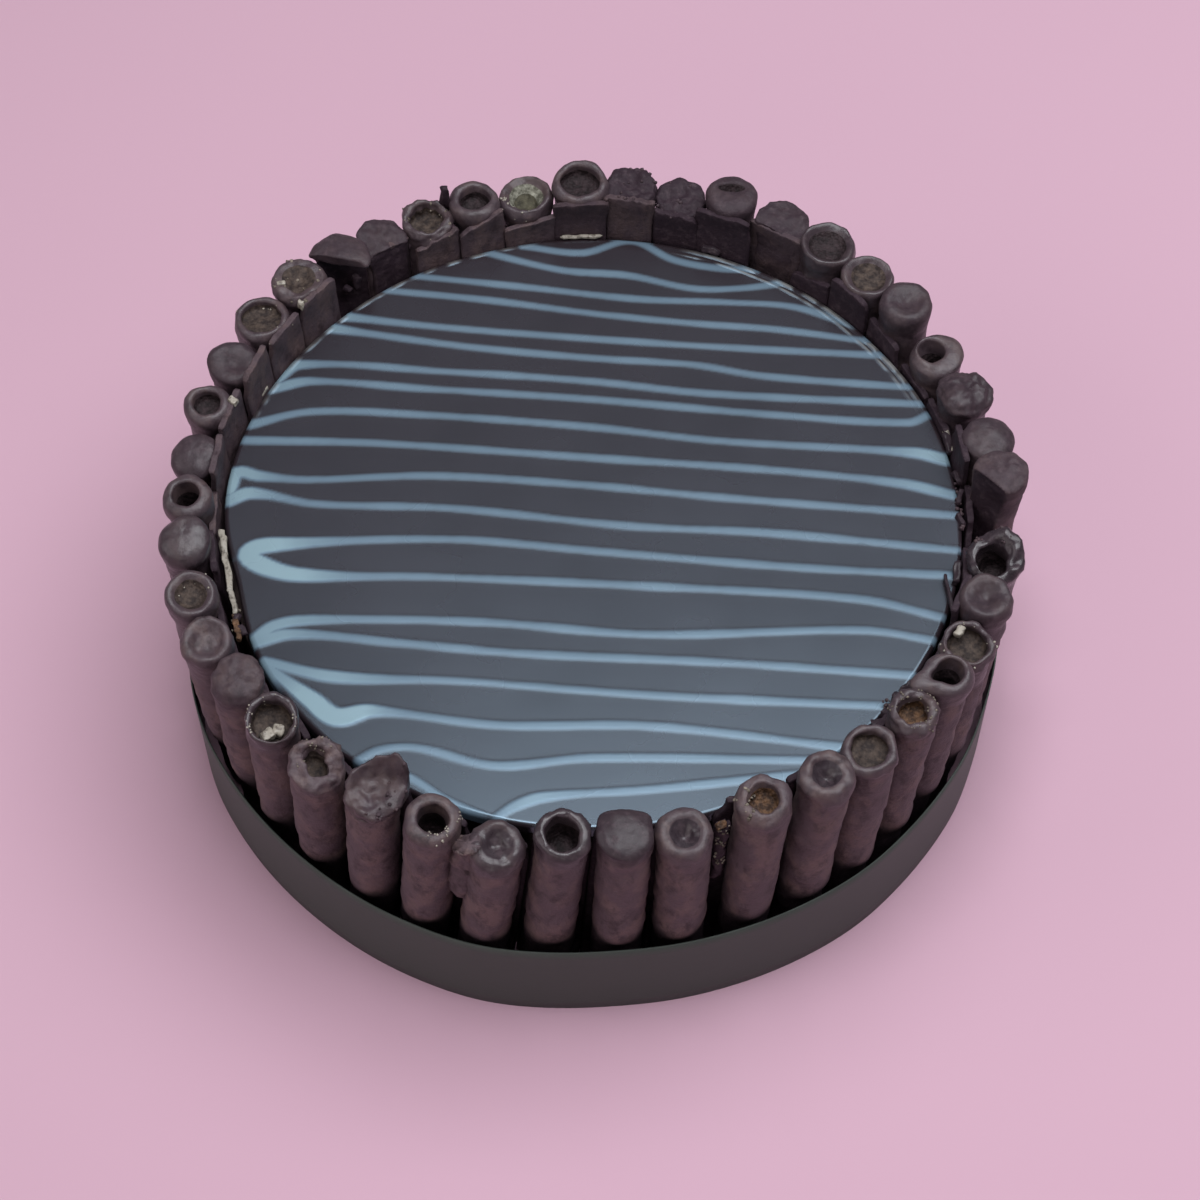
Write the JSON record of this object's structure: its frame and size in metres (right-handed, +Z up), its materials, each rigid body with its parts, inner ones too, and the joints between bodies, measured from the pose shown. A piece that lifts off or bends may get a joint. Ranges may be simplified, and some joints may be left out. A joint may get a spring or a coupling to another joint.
{
  "type": "chocolate wafer cake",
  "caption": "Round chocolate cake with a glossy ganache top, pale drizzle lines and a ring of upright coated wafer rolls held by a plain strip.",
  "frame": {"origin": "middle of the flat underside, on the surface the cake stands on", "axes": "+Z up out of the ganache, +X to the right and -Y to the front as the cake faces the viewer"},
  "size_m": [0.2434, 0.2427, 0.0943],
  "materials": {
    "sponge": "matt dark chocolate coat over sponge",
    "ganache": "glossy poured ganache",
    "chocolate": "set chocolate coating, satin",
    "card": "smooth dark card, matt"
  },
  "bodies": {
    "root": {"cake_body": "sponge", "ganache_top": "ganache", "strip": "card", "roll_01": "chocolate", "roll_02": "chocolate", "roll_03": "chocolate", "roll_04": "chocolate", "roll_05": "chocolate", "roll_06": "chocolate", "roll_07": "chocolate", "roll_08": "chocolate", "roll_09": "chocolate", "roll_10": "chocolate", "roll_11": "chocolate", "roll_12": "chocolate", "roll_13": "chocolate", "roll_14": "chocolate", "roll_15": "chocolate", "roll_16": "chocolate", "roll_17": "chocolate", "roll_18": "chocolate", "roll_19": "chocolate", "roll_20": "chocolate", "roll_21": "chocolate", "roll_22": "chocolate", "roll_23": "chocolate", "roll_24": "chocolate", "roll_25": "chocolate", "roll_26": "chocolate", "roll_27": "chocolate", "roll_28": "chocolate", "roll_29": "chocolate", "roll_30": "chocolate", "roll_31": "chocolate", "roll_32": "chocolate", "roll_33": "chocolate", "roll_34": "chocolate", "roll_35": "chocolate", "roll_36": "chocolate", "roll_37": "chocolate", "roll_38": "chocolate", "roll_39": "chocolate", "roll_40": "chocolate", "roll_41": "chocolate", "roll_42": "chocolate", "roll_43": "chocolate", "sliver_01": "chocolate", "sliver_02": "chocolate"}
  },
  "joints": []
}
